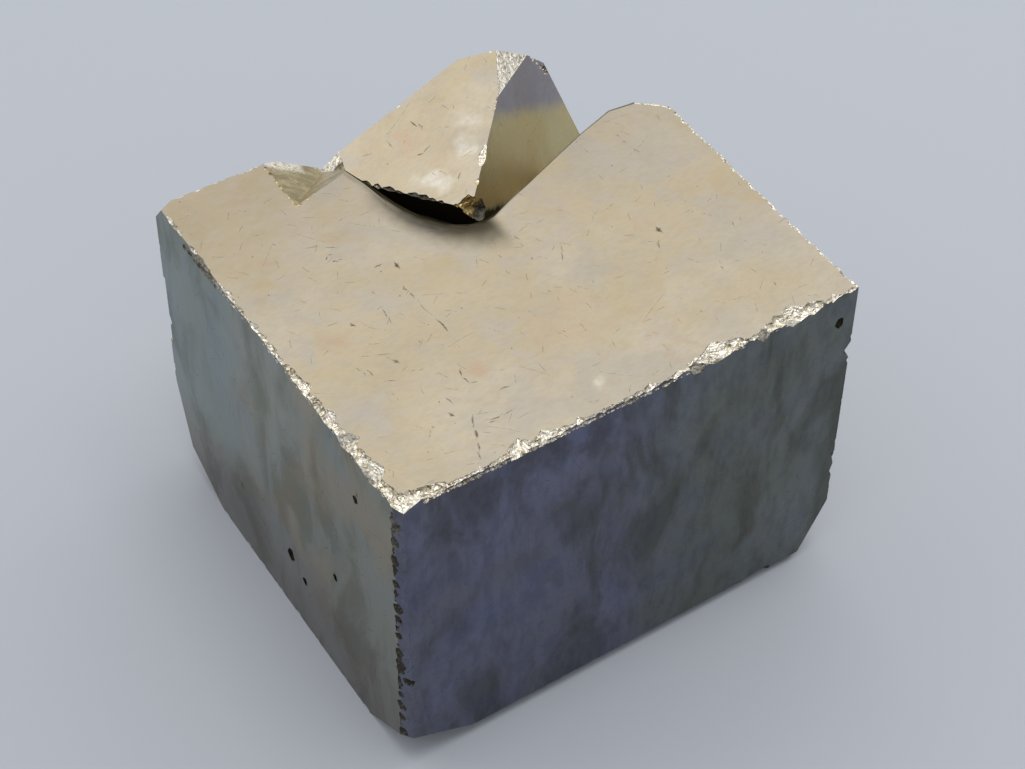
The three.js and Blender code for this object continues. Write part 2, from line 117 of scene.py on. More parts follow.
# ---- Broken places ----
BROKEN_SPOTS = [
    # middle, radius, the direction they face if it matters, share of the relief
    ((13.5, 41.5, 36.5), 5.2, (0, 0.3, 1), 0.35),  # notch
    ((37.9, 41.8, 40.9), 4.0, (0.51, -0.51, 0.69), 0.6),  # top end of the small cube
    ((20.6, 44, 34.3), 3.2, (-1, 0, 0), 0.6),  # left corner of the small cube
    ((30, 45.2, 0), 5.5, None, 1),  # foot of the back face
    # pits in the left face, then in the front face
    ((-0.5, 20.75, 9.2), 1.4, None, 1),
    ((-0.5, 18.1, 7.7), 1.0, None, 1),
    ((-0.5, 11.7, 15.6), 0.9, None, 1),
    ((-0.3, 7.3, 32), 1.6, None, 1),
    ((48.6, 0.1, 34.4), 1.1, None, 1),
]
SPOT_SPREAD = 0.2  # least cosine between a broken facet and that direction
EDGE_REACH = 3.4  # a small facet this near a worn edge is broken, not grown
EDGE_FACING = 0.2  # and facing out of it: the least cosine
GROWN_AREA = 21.0  # faces whose plane holds more than this, in mm², are grown
SPOT_AREA = 60.0  # the same, in the broken places
ON_PLANE = 0.01
SAME_PLACE = 1e-7  # points nearer than this are one, in the mesh's own unit
MERGE_DISTANCE = 3e-5  # of corners that the chips leave all but in one place
BROKEN = -1  # what the facets of a fracture have for a plane
ROUNDED = 0  # and the small grown facets, which are parts of rounded rims

# ---- Fracture relief ----
REFILL_TRIES = 4
ROUGH_STEPS = 2  # how often the facets of a chip are split in four
ROUGHNESS = 0.14  # how far a split corner moves, as a share of the edge that it splits
GRAIN = 0.23  # longest edge of a fracture facet
REFINE_ROUNDS = 6
RELIEF = [(1.3, 0.10), (0.5, 0.07), (0.25, 0.03)]  # noise size and height
RELIEF_SINK = 0.25  # how far the relief lies below the facet, as a share of its height
RELIEF_JITTER = 0.03
SMOOTH_ANGLE = math.radians(24)  # of a rounded rim
GRAIN_ANGLE = math.radians(11)  # of a fracture

# ---- Scratches and small pits that catch dirt, on the faces that look up ----
# Middle, half length, half width, direction in degrees, strength
TOP_MARKS = [
    (15.0, 25.3, 0.36, 0.3, 100, 1), (13.5, 26.2, 0.37, 0.14, 176, 0.7),
    (10.4, 28.8, 0.3, 0.16, 169, 0.9), (10.9, 28.7, 0.39, 0.07, 164, 0.6),
    (9.9, 29.6, 0.31, 0.08, 47, 0.8), (10.4, 29.8, 0.23, 0.07, 175, 0.7),
    (7.6, 20.8, 0.25, 0.17, 99, 0.9), (10.9, 20.5, 0.62, 0.09, 81, 0.7),
    (10.8, 19.5, 0.32, 0.07, 85, 0.6), (14.1, 22.2, 0.38, 0.2, 97, 0.8),
    (14.2, 21.3, 0.53, 0.12, 96, 0.7), (14.4, 19.2, 1.42, 0.06, 94, 0.55),
    (14.6, 16.5, 0.96, 0.1, 96, 0.8), (9.2, 19.4, 1.41, 0.06, 129, 0.55),
    (9.2, 19.4, 0.72, 0.05, 122, 0.5), (6.7, 16.8, 0.77, 0.06, 153, 0.5),
    (8.2, 16.1, 0.81, 0.06, 155, 0.6), (8.7, 14.8, 0.24, 0.2, 108, 0.9),
    (5.3, 15.6, 0.33, 0.1, 102, 0.7), (5.5, 15.2, 0.43, 0.09, 91, 0.6),
    (6.0, 14.8, 0.46, 0.09, 96, 0.6), (7.1, 13.0, 0.62, 0.08, 151, 0.65),
    (12.9, 10.6, 0.55, 0.12, 67, 0.8), (12.8, 9.6, 0.51, 0.11, 103, 0.8),
    (13.3, 9.0, 0.38, 0.07, 167, 0.6), (10.3, 8.2, 0.52, 0.09, 101, 0.7),
    (9.5, 6.8, 0.24, 0.24, 122, 0.9), (7.4, 6.4, 0.12, 0.12, 115, 0.8),
    (12.6, 4.5, 0.83, 0.11, 173, 0.75), (14.1, 4.4, 0.68, 0.08, 6, 0.6),
    (12.2, 4.2, 0.41, 0.08, 165, 0.7), (10.8, 5.2, 0.76, 0.13, 61, 0.7),
    (10.2, 3.8, 0.77, 0.15, 71, 0.8), (9.6, 2.5, 0.7, 0.13, 72, 0.75),
    (9.1, 1.5, 0.41, 0.1, 76, 0.7), (11.9, 5.8, 0.37, 0.06, 21, 0.5),
    (15.2, 7.0, 0.62, 0.09, 177, 0.65), (9.5, 31.6, 0.68, 0.08, 166, 0.6),
    (11.0, 30.6, 0.57, 0.08, 152, 0.65), (26.7, 22.6, 0.39, 0.16, 104, 0.45),
    (26.6, 21.6, 0.54, 0.12, 109, 0.4), (24.0, 21.3, 0.24, 0.1, 93, 0.5),
    (11.3, 23.4, 0.17, 0.14, 114, 0.55), (39.0, 16.4, 0.38, 0.3, 93, 1),
    (37.8, 14.8, 0.55, 0.13, 59, 0.55), (41.1, 9.1, 0.19, 0.14, 84, 0.8),
    (41.4, 9.8, 0.29, 0.06, 82, 0.5), (29.6, 19.2, 0.55, 0.07, 66, 0.55),
    (29.0, 18.2, 0.61, 0.08, 61, 0.6), (44.1, 4.8, 0.24, 0.1, 75, 0.6),
    (43.5, 28.6, 0.21, 0.18, 102, 0.6), (43.5, 29.7, 0.29, 0.1, 98, 0.5),
    (43.8, 26.9, 0.36, 0.1, 110, 0.55), (26.4, 19.5, 0.16, 0.1, 92, 0.6),
    (28.8, 23.6, 0.35, 0.06, 160, 0.5), (25.4, 15.0, 0.19, 0.09, 104, 0.5),
    (29.6, 13.9, 0.16, 0.09, 92, 0.5), (36.0, 5.5, 0.15, 0.1, 91, 0.5),
    (24.9, 15.0, 0.67, 0.05, 132, 0.5), (43.6, 18.4, 0.5, 0.06, 114, 0.4),
    (41.1, 22.2, 0.3, 0.12, 74, 0.35), (24.8, 6.0, 0.36, 0.06, 105, 0.4),
    (26.7, 6.4, 0.46, 0.06, 78, 0.45), (28.7, 12.0, 0.72, 0.05, 170, 0.35),
    (12.0, 33.7, 0.53, 0.05, 34, 0.35), (12.1, 31.4, 0.51, 0.05, 116, 0.35),
    (5.2, 25.7, 0.34, 0.1, 114, 0.5), (2.9, 28.1, 0.12, 0.1, 114, 0.6),
    (6.5, 33.8, 0.29, 0.09, 135, 0.5), (2.4, 22.8, 0.83, 0.05, 122, 0.4),
    (2.2, 18.8, 0.56, 0.05, 70, 0.45), (9.4, 13.1, 0.44, 0.07, 173, 0.5),
    (10.1, 12.8, 0.44, 0.06, 173, 0.5), (5.8, 11.0, 0.3, 0.05, 96, 0.4),
    (8.8, 10.5, 0.4, 0.08, 85, 0.35), (23.7, 10.0, 0.18, 0.1, 105, 0.45),
    (19.2, 8.8, 0.3, 0.05, 7, 0.4), (20.3, 11.9, 0.31, 0.07, 93, 0.35),
    (45.2, 10.8, 0.38, 0.05, 115, 0.35), (41.2, 12.1, 0.45, 0.04, 176, 0.3),
    (38.3, 8.3, 0.33, 0.04, 112, 0.35), (45.3, 7.7, 0.66, 0.04, 173, 0.3),
    (30.7, 5.5, 0.54, 0.05, 113, 0.35),
]
SMALL_CUBE_MARKS = [
    (27.3, 42.4, 0.77, 0.09, 105, 0.9), (27.6, 41.7, 0.32, 0.18, 87, 0.8),
    (25.9, 39.0, 0.33, 0.11, 155, 0.8), (26.7, 39.0, 0.52, 0.07, 7, 0.7),
    (27.3, 33.8, 0.64, 0.08, 36, 0.6), (31.0, 41.0, 0.38, 0.06, 70, 0.6),
    (36.0, 43.0, 0.66, 0.06, 80, 0.5), (25.7, 36.0, 0.54, 0.05, 105, 0.5),
    (24.4, 42.5, 0.55, 0.1, 86, 0.55), (23.1, 40.7, 0.18, 0.09, 93, 0.5),
    (31.1, 35.8, 0.68, 0.22, 111, 0.9), (30.4, 34.6, 0.48, 0.12, 88, 0.7),
    (31.3, 45.1, 0.23, 0.2, 100, 0.7), (27.7, 45.8, 0.23, 0.2, 101, 0.7),
]
SMALL_LEFT = (-0.4325, -0.033, 0.901)  # the way the small cube's left face looks
MARKED_FACES = [
    # a point of the face, the way it looks, its marks
    ((10, 10, 38.2), (0, 0, 1), TOP_MARKS),
    ((27.3, 42.4, 37.9), SMALL_LEFT, SMALL_CUBE_MARKS),
]
MARK_CLEARANCE = 0.12  # least distance from a mark to the outline of its face
MARK_STEP = 0.25  # length of a mark's pieces
MARK_BEND = 0.3  # most bend, as a share of its half length
MARK_WIDENING = 1.4  # for the soft edge of a mark
MARK_TAPER = 0.9  # towards its ends
MARK_WIDTHS = (0.7, 1.2)  # least and most of its width
MARK_WANDER = 0.35  # of its middle line, as a share of its half width
MARK_TIP = 1.2  # length of its pointed ends, as a share of its half width
GROWN_WEIGHT = 1e6  # of a grown face in the normals of the rounded facets beside it

shapes = random.Random(20)
scratches = random.Random(7)


def place(point):
    """A point of the tables in the frame, in millimetres."""
    return Vector(point) + FOOT_OF_EDGE


def millimetre_mesh(source):
    bm = bmesh.new()
    bm.from_mesh(source)
    bmesh.ops.remove_doubles(bm, verts=bm.verts, dist=SAME_PLACE)
    bm.transform(Matrix.Scale(1 / MM, 4))
    return bm


# ---- Which facets of the solid are broken ----
class Plane:
    """A plane that faces lie in, and their area."""

    def __init__(self, face):
        self.normal = face.normal.copy()
        self.offset = self.normal.dot(face.verts[0].co)
        self.area = 0

    def holds(self, face):
        return all(abs(self.normal.dot(vert.co) - self.offset) < ON_PLANE for vert in face.verts)


def planes_of(bm):
    """Every face's plane, by face."""
    bm.normal_update()
    planes = []
    held = {}
    for face in sorted(bm.faces, key=lambda face: -face.calc_area()):
        for plane in planes:
            if plane.holds(face) and plane.normal.dot(face.normal) > 0:
                break
        else:
            plane = Plane(face)
            planes.append(plane)
        plane.area += face.calc_area()
        held[face] = plane
    return held


def distance_to_segment(point, start, end):
    run = end - start
    share = max(0, min(1, (point - start).dot(run) / run.length_squared))
    return (point - start - run * share).length


def plane_layer(bm):
    """The number of the plane that each face lies in: BROKEN, ROUNDED or 1 and up."""
    return bm.faces.layers.int.get("plane") or bm.faces.layers.int.new("plane")


def mark_faces(bm):
    """Numbers the grown planes on their faces and gives fractures material 1.

    Returns the planes.
    """
    layer = plane_layer(bm)
    held = planes_of(bm)
    edges = [(place(start), place(end), Vector(out).normalized()) for start, end, out, *_ in WEAR]
    spots = [
        (place(middle), radius, facing and Vector(facing).normalized())
        for middle, radius, facing, _ in BROKEN_SPOTS
    ]
    grown = [plane for plane in dict.fromkeys(held.values()) if plane.area > GROWN_AREA]
    for face, plane in held.items():
        middle = face.calc_center_median()
        near_edge = plane.area < GROWN_AREA and any(
            face.normal.dot(out) > EDGE_FACING
            and distance_to_segment(middle, start, end) < EDGE_REACH
            for start, end, out in edges
        )
        in_spot = plane.area < SPOT_AREA and any(
            (middle - spot).length < radius
            and (facing is None or face.normal.dot(facing) > SPOT_SPREAD)
            for spot, radius, facing in spots
        )
        broken = near_edge or in_spot
        face.material_index = int(broken)
        number = grown.index(plane) + 1 if plane in grown else ROUNDED
        face[layer] = BROKEN if broken else number
    return grown


# ---- Chips ----
def lump(bm, middle, along, out, half):
    """An uneven, faceted lump. Adds it to bm."""
    z = out.normalized()
    x = (along - z * along.dot(z)).normalized()
    y = z.cross(x)
    turn = Matrix((x, y, z)).transposed().to_4x4()
    made = bmesh.ops.create_icosphere(bm, subdivisions=1, radius=1)["verts"]
    spin = Matrix.Rotation(shapes.uniform(0, math.tau), 4, shapes.choice("XYZ"))
    for vert in made:
        co = spin @ vert.co * shapes.uniform(1 - CORNER_SHAKE, 1 + CORNER_SHAKE)
        vert.co = middle + turn @ Vector(a * b for a, b in zip(co, half))


def triangulate(bm):
    bmesh.ops.triangulate(bm, faces=[face for face in bm.faces if len(face.verts) > 3])


def roughen_chips(bm):
    """Splits the lumps' facets and moves the new corners, for ragged edges."""
    for _ in range(ROUGH_STEPS):
        long = [edge for edge in bm.edges if edge.calc_length() > GRAIN]
        split = bmesh.ops.subdivide_edges(bm, edges=long, cuts=1, use_grid_fill=True)
        fresh = [item for item in split["geom_inner"] if isinstance(item, bmesh.types.BMVert)]
        for vert in fresh:
            reach = min(edge.calc_length() for edge in vert.link_edges) * 2 * ROUGHNESS
            vert.co += Vector(shapes.uniform(-reach, reach) for _ in range(3))
        triangulate(bm)
    layer = plane_layer(bm)
    for face in bm.faces:
        face.material_index = 1
        face[layer] = BROKEN


def worn_chips():
    """The chips of all worn edges, in sets whose chips don't touch one another."""
    sets = []
    for start, end, out, least, most, count in WEAR:
        start, end = place(start), place(end)
        for i in range(count):
            size = least + (most - least) * shapes.random() ** SMALL_CHIPS
            share = (i + shapes.uniform(*CHIP_STRAY)) / count
            middle = start.lerp(end, max(0, min(1, share)))
            shaken = Vector(part + shapes.uniform(-OUT_SHAKE, OUT_SHAKE) for part in out)
            shaken.normalize()
            half = (size * shapes.uniform(1, CHIP_STRETCH), size, size)
            middle += shaken * size * (1 - CHIP_DEPTH * shapes.uniform(*CHIP_DEPTHS))
            reach = max(half) * (1 + CORNER_SHAKE + ROUGHNESS)
            for bm, placed in sets:
                if all((middle - other).length > reach + far for other, far in placed):
                    break
            else:
                bm, placed = bmesh.new(), []
                sets.append((bm, placed))
            lump(bm, middle, end - start, shaken, half)
            placed.append((middle, reach))
    for bm, _ in sets:
        roughen_chips(bm)
    return [bm for bm, _ in sets]


def linked(name, data):
    """A new object with that data, in the scene."""
    made = bpy.data.objects.new(name, data)
    bpy.context.collection.objects.link(made)
    return made


def mesh_object(name, bm, materials):
    mesh = bpy.data.meshes.new(name)
    bm.to_mesh(mesh)
    bm.free()
    for material in materials:
        mesh.materials.append(material)
    return linked(name, mesh)


def subtract(target, cutter):
    modifier = target.modifiers.new("chips", "BOOLEAN")
    modifier.operation = "DIFFERENCE"
    modifier.solver = "MANIFOLD"
    modifier.object = cutter
    bpy.context.view_layer.update()
    result = target.evaluated_get(bpy.context.evaluated_depsgraph_get())
    cut = bpy.data.meshes.new_from_object(result)
    target.modifiers.clear()
    old, target.data = target.data, cut
    bpy.data.meshes.remove(old)
    cutter_mesh = cutter.data
    bpy.data.objects.remove(cutter)
    bpy.data.meshes.remove(cutter_mesh)


# ---- Fracture relief ----
def refine(bm):
    """Splits the broken facets until their edges are no longer than the grain."""
    for _ in range(REFINE_ROUNDS):
        broken = [face for face in bm.faces if face.material_index == 1]
        long = {edge for face in broken for edge in face.edges if edge.calc_length() > GRAIN}
        if not long:
            return
        bmesh.ops.subdivide_edges(bm, edges=sorted(long, key=lambda edge: edge.index), cuts=1)
        bm.edges.index_update()
        broken = [face for face in bm.faces if face.material_index == 1 and len(face.verts) > 3]
        bmesh.ops.triangulate(bm, faces=broken, quad_method="SHORT_EDGE", ngon_method="BEAUTY")


def relief_share(point):
    """How much of the relief a fracture has there."""
    return min((
        share for middle, radius, _, share in BROKEN_SPOTS
        if (point - place(middle)).length < radius
    ), default=1)


def roughen(bm):
    """Moves the vertices inside the fractures, unevenly and mostly inwards."""
    bm.normal_update()
    moves = {}
    for vert in bm.verts:
        if any(face.material_index != 1 for face in vert.link_faces):
            continue
        share = relief_share(vert.co)
        height = sum(
            noise.noise(vert.co / size) * rise - rise * RELIEF_SINK for size, rise in RELIEF
        )
        slack = min(1, min(edge.calc_length() for edge in vert.link_edges) / GRAIN * 2)
        jitter = Vector(shapes.uniform(-1, 1) for _ in range(3)) * RELIEF_JITTER
        moves[vert] = (vert.normal * height + jitter) * share * slack
    for vert, move in moves.items():
        vert.co += move


def inside_outline(points, outline):
    """Which 2-D points lie inside the closed outlines that the segments make."""
    starts, ends = outline[:, 0], outline[:, 1]
    x, y = points[:, :1], points[:, 1:]
    crosses = (starts[:, 1] > y) != (ends[:, 1] > y)
    rise = np.where(crosses, ends[:, 1] - starts[:, 1], 1)
    at = starts[:, 0] + (y - starts[:, 1]) * (ends[:, 0] - starts[:, 0]) / rise
    return (crosses & (x < at)).sum(axis=1) % 2 == 1


def flattened(points, across, along):
    return [Vector((point.dot(across), point.dot(along))) for point in points]


def drawn_mark(plane, across, along, x, y, half_length, half_width, angle, strength):
    """A scratch or small pit: its outline and middle line as drawn in a face, and its strength."""
    run = Vector((math.cos(math.radians(angle)), math.sin(math.radians(angle)), 0))
    run -= plane.normal * run.dot(plane.normal)
    run.normalize()
    beside = plane.normal.cross(run)
    middle = place((x, y, 0))
    middle.z = plane.offset - plane.normal.x * middle.x - plane.normal.y * middle.y
    middle.z /= plane.normal.z
    steps = max(3, round(half_length / MARK_STEP))
    bend = scratches.uniform(-MARK_BEND, MARK_BEND) * half_length
    core, left, right = [], [], []
    for step in range(steps + 1):
        share = step / steps * 2 - 1
        taper = math.sqrt(1 - share * share * MARK_TAPER) * scratches.uniform(*MARK_WIDTHS)
        wander = scratches.uniform(-MARK_WANDER, MARK_WANDER) * half_width
        at = middle + run * share * half_length
        at += beside * (bend * (share * share - 0.5) + wander)
        width = half_width * MARK_WIDENING * taper
        core.append(at)
        left.append(at + beside * width)
        right.append(at - beside * width)
    tip = run * half_width * MARK_TIP
    ring = [core[0] - tip, *right, core[-1] + tip, *reversed(left)]
    return flattened(ring, across, along), flattened(core, across, along), strength


def marks_of(plane, across, along):
    """The marks that lie in a grown plane, drawn in it."""
    for point, facing, marks in MARKED_FACES:
        near = abs(plane.normal.dot(place(point)) - plane.offset) < 1
        if near and plane.normal.dot(Vector(facing)) > 0.99:
            return [drawn_mark(plane, across, along, *mark) for mark in marks]
    return []


def clear_of(points, outline):
    """Whether the 2-D points all lie inside the outline, well away from it."""
    starts = outline[:, 0]
    run = outline[:, 1] - starts
    squared = (run * run).sum(axis=1)
    for point in points:
        share = np.clip(((point - starts) * run).sum(axis=1) / squared, 0, 1)
        nearest = starts + run * share[:, None] - point
        if (nearest * nearest).sum(axis=1).min() < MARK_CLEARANCE ** 2:
            return False
    return inside_outline(points, outline).all()


def fill(flat, segments, outline):
    """Triangles inside the outline, which the first segments make, with every point kept.

    Returns the points, the input points that each stands for and the triangles, or None where
    the outline doesn't hold.
    """
    points, _, triangles, sources, *_ = delaunay_2d_cdt(flat, segments, [], 1, SAME_PLACE)
    middles = np.array([np.mean([points[i] for i in triangle], axis=0) for triangle in triangles])
    kept = inside_outline(middles, outline)
    triangles = [triangle for triangle, keep in zip(triangles, kept) if keep]
    standing = {i: number for number, source in enumerate(sources) for i in source}
    rim = {frozenset(standing[i] for i in segment) for segment in segments[:len(outline)]}
    uses = side_uses(triangles)
    if rim != {side for side, use in uses.items() if use == 1} or max(uses.values()) > 2:
        return None
    return points, sources, triangles


def side_uses(triangles):
    return Counter(frozenset(side) for a, b, c in triangles for side in ((a, b), (b, c), (c, a)))


def refill(bm, number, plane):
    """Fills a grown plane anew inside its outline, with its marks.

    If that can't be done, it stays as it is.
    """
    layer = plane_layer(bm)
    dirt = bm.verts.layers.float["dirt"]
    faces = {face for face in bm.faces if face[layer] == number}
    edges = [
        edge for edge in {edge for face in faces for edge in face.edges}
        if sum(face in faces for face in edge.link_faces) == 1
    ]
    edges.sort(key=lambda edge: edge.index)
    verts = list(dict.fromkeys(vert for edge in edges for vert in edge.verts))
    if len(verts) < 3:
        return
    number_of = {vert: i for i, vert in enumerate(verts)}
    across = plane.normal.orthogonal().normalized()
    along = plane.normal.cross(across)
    flat = flattened([vert.co for vert in verts], across, along)
    segments = [tuple(number_of[vert] for vert in edge.verts) for edge in edges]
    outline = np.array([flat[i] for segment in segments for i in segment]).reshape(-1, 2, 2)
    depth = [0] * len(verts)
    for ring, core, strength in marks_of(plane, across, along):
        if clear_of(np.array(ring), outline):
            first, count = len(flat), len(ring)
            flat += ring + core
            depth += [0] * count + [strength] * len(core)
            segments += [(first + i, first + (i + 1) % count) for i in range(count)]

    for _ in range(REFILL_TRIES):
        filled = fill(flat, segments, outline)
        if not filled:
            return
        points, sources, triangles = filled
        old = [[verts[i] for i in source if i < len(verts)] for source in sources]
        if any(len(source) > 1 for source in old):
            return
        # A side that already is an edge of some other face gets a corner in its middle
        doubled = []
        for side, use in side_uses(triangles).items():
            known = [old[i][0] for i in side if old[i]]
            edge = use == 2 and len(known) == 2 and bm.edges.get(known)
            if edge and not faces.issuperset(edge.link_faces):
                doubled.append(sum((points[i] for i in side), Vector((0, 0))) / 2)
        if not doubled:
            break
        flat += doubled
        depth += [0] * len(doubled)
    else:
        return

    bmesh.ops.delete(bm, geom=list(faces), context="FACES_KEEP_BOUNDARY")
    corners = []
    for point, source, own in zip(points, sources, old):
        if own:
            corners.append(own[0])
            continue
        vert = bm.verts.new(across * point.x + along * point.y + plane.normal * plane.offset)
        vert[dirt] = max((depth[i] for i in source), default=0)
        corners.append(vert)
    for triangle in triangles:
        face = bm.faces.new([corners[i] for i in triangle])
        face[layer] = number
    bmesh.ops.delete(bm, geom=[v for v in corners if not v.link_faces], context="VERTS")


def finish_normals(mesh, planes):
    """Flat normals on the grown planes, smooth ones on rounded rims and over each grain."""
    numbers = [entry.value for entry in mesh.attributes["plane"].data]
    at_vertex = {}
    own = []
    for polygon, number in zip(mesh.polygons, numbers):
        if number > 0:
            normal, weight = planes[number - 1].normal, GROWN_WEIGHT
        else:
            normal, weight = polygon.normal.copy(), polygon.area
        own.append(normal)
        for i in polygon.vertices:
            at_vertex.setdefault(i, []).append((normal, weight, number))
    normals = [None] * len(mesh.loops)
    for polygon, base, number in zip(mesh.polygons, own, numbers):
        broken = number == BROKEN
        limit = GRAIN_ANGLE if broken else SMOOTH_ANGLE
        for loop in polygon.loop_indices:
            if number > 0:
                normals[loop] = base
                continue
            total = sum((
                n * w for n, w, other in at_vertex[mesh.loops[loop].vertex_index]
                if (other == BROKEN) == broken and n.angle(base, 0) < limit
            ), Vector())
            normals[loop] = total.normalized() if total.length else base
    mesh.normals_split_custom_set(normals)


# ---- The specimen ----
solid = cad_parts["pyrite_cube"]
bm = millimetre_mesh(solid.data)
grown_planes = mark_faces(bm)
crystal = bpy.data.materials.new("pyrite_crystal_face")
fracture = bpy.data.materials.new("pyrite_fracture")
materials = (crystal, fracture)
pyrite = mesh_object("pyrite", bm, materials)
for chips in worn_chips():
    subtract(pyrite, mesh_object("chips", chips, materials))

bm = bmesh.new()
bm.from_mesh(pyrite.data)
bmesh.ops.remove_doubles(bm, verts=bm.verts, dist=MERGE_DISTANCE)
bm.verts.layers.float.new("dirt")
refine(bm)
roughen(bm)
for number, plane in enumerate(grown_planes, 1):
    bm.edges.index_update()
    refill(bm, number, plane)
triangulate(bm)
for face in bm.faces:
    face.smooth = True
bm.transform(Matrix.Scale(MM, 4))
bm.to_mesh(pyrite.data)
bm.free()
pyrite.data.validate()
finish_normals(pyrite.data, grown_planes)

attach(pyrite, "root")
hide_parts("pyrite_cube")


# ---- Materials ----
# Reflectance of the metal and of what has grown or settled on it, and tones that are painted
# reflections, highlights and shade
PYRITE = (0.43, 0.367, 0.255)
PALE = (0.455, 0.40, 0.305)
GREY = (0.40, 0.362, 0.305)
ROSE = (0.43, 0.325, 0.225)
GOLD = (0.42, 0.345, 0.21)
MILKY = (0.59, 0.55, 0.47)
AGED_TINT = (0.88, 0.87, 0.87)
DIRT = (0.12, 0.095, 0.06)
SCUFF = (0.36, 0.3, 0.2)
SHADOWED = (0.03, 0.026, 0.014)
# Tints that paint reflections and shade on the side faces
SLATE_TINT = (0.56, 0.68, 0.76)
WARM_SLATE_TINT = (0.68, 0.68, 0.64)
BLUE_TINT = (0.42, 0.60, 0.74)
DARK_SLATE_TINT = (0.38, 0.39, 0.44)
INDIGO_TINT = (0.37, 0.44, 0.82)
GREEN_TINT = (0.34, 0.43, 0.55)
OLIVE_TINT = (0.66, 0.65, 0.56)
STREAK_TINT = (0.5, 0.5, 0.52)
GOLDEN_TINT = (1.36, 1.30, 0.86)
LAVENDER_TINT = (0.76, 0.80, 1.08)
# Lit and shaded tones of the fractures, and black for painted shade
BRIGHT = (0.95, 0.89, 0.76)
SHADED = (0.34, 0.29, 0.19)
PAINTED_SHADE_BLACK = (0.03, 0.027, 0.02)
NOTCH_TONE = (0.70, 0.59, 0.35)
NOTCH_SHADE = (0.46, 0.38, 0.21)
GOLDEN = (1.0, 0.72, 0.30)
OLIVE = (0.60, 0.48, 0.22)
UNLIT = (0.15, 0.12, 0.08)

# Mottling of the grown faces
MOTTLING = [
    # size, noise where it starts and is full, strength, detail, distortion, colour
    (14, 0.42, 0.62, 1.0, 2, 0, PALE),
    (7, 0.5, 0.68, 0.8, 2, 0.8, GREY),
    (5, 0.56, 0.74, 0.5, 3, 1.2, ROSE),
    (9, 0.55, 0.72, 0.5, 2, 0, GOLD),
]
WEAVE = [
    # size, direction, narrowing across it, noise where it starts and is full, strength, colour
    (1.2, 33, 0.6, 0.4, 0.65, 0.34, GREY),
    (0.4, 35, 0.5, 0.42, 0.64, 0.24, SCUFF),
]
STAINS = [
    # middle, half length, half width, direction, colour, strength
    (4.9, 19.8, 2.5, 1.5, 147, ROSE, 1.0),
    (14.2, 10.2, 2.0, 1.6, 151, ROSE, 1.0),
    (36.4, 20.6, 2.4, 2.0, 0, GOLD, 0.7),
    (18.5, 23.1, 2.3, 1.2, 148, GOLD, 0.7),
    (12.3, 31.3, 3.4, 1.3, 148, GOLD, 0.7),
    (2.9, 30.1, 1.8, 1.1, 145, GOLD, 0.8),
    (11.4, 22.2, 4.5, 2.6, 148, GREY, 0.8),
    (3.0, 11.5, 3.8, 3.2, 140, GREY, 0.9),
    (24.2, 11.4, 6.0, 5.0, 43, ROSE, 0.35),
    (46.5, 11.0, 6.5, 5.5, 162, GREY, 0.6),
    (44.0, 26.0, 7.5, 5.0, 171, GREY, 0.7),
    (23.0, 3.2, 1.5, 1.0, 37, MILKY, 0.75),
    # small cube; its milky patches are painted highlights
    (26.0, 41.6, 2.8, 1.9, 105, ROSE, 1.0),
    (29.4, 36.1, 1.9, 1.4, 86, MILKY, 1.0),
    (24.9, 35.5, 3.6, 1.3, 129, MILKY, 1.0),
    (31.2, 38.5, 2.4, 1.6, 99, MILKY, 0.6),
]
HAIRLINES = [
    # cell, half length, half width, bend, share of the cells, strength
    (2.0, 0.7, 0.055, 0.5, 0.4, 0.42),
    (6, 2.4, 0.045, 0.12, 0.4, 0.35),
]
FINE_PITS = (1.3, 0.12, 0.3, 0.6)  # cell, radius, share of the cells, strength
EDGE_NICKS = (0.7, 0.5, 0.05, 1.2, 0.45)  # as hairlines, along the upright near edge
# Specks of dirt on the left face: middle and radius
SPECKS = [((-0.3, 30.8, 9.6), 0.5), ((-0.3, 7, 32.9), 0.35), ((-0.3, 7.5, 23.1), 0.3)]

# Where the grown faces differ
SMALL_RIGHT = (0.6132, -0.7435, 0.2669)  # the way the small cube's right face looks
UP_THE_FACE = 0.72  # Z and this share of X rise together on the small cube's right face
LAVENDER_FROM = (62.8, 65.0)  # its painted reflection turns lavender there, counted that way
DARK_BELOW = (55.3, 54.5)  # and painted dark at its foot, as painted shade
# Narrow facet left of the front face: how Y rises with Z, and the Y where it starts and is full
STRIP = (0.038, -0.40, -0.45)
RECESS = ((21.5, 34.5, 35), 10, 12)  # middle, and where its painted shade starts to fade and ends
RECESS_SHADE = (24.0, 30.4, 10.2, 6.8, -61.6, 0.45)  # painted shade: a dark ellipse on the top face beside it
RECESS_DEPTH = (25, 30)  # it fades out down the recess

# ---- Fractures ----
METAL_SHARE = 0.88  # of a fracture's look; the rest is grainy and plain
# Dull fractures: middle, radius and two colours
DULL_PLACES = [
    ((13.5, 41.5, 36.5), 6.2, NOTCH_TONE, NOTCH_SHADE),
    # The cut corner's golden tone is its own colour, painted brighter as painted light
    ((26.8, 30.8, 36.4), 2.2, GOLDEN, OLIVE),
    ((20.2, 43.5, 32.8), 1.9, SHADED, PAINTED_SHADE_BLACK),
]
# Pits, painted near black: middle and radius
PITS = [(middle, radius) for middle, radius, *_ in BROKEN_SPOTS if radius < 1.5]
UNDER_RECESS_EDGE = ((24, 33, 34.5), 6.5, 8)  # chips painted black as painted shade: middle, and their radii
CUT_CORNER = ((26.8, 30.8, 36.4), 1.3, 2.0)  # the chip among them kept out of that painted shade
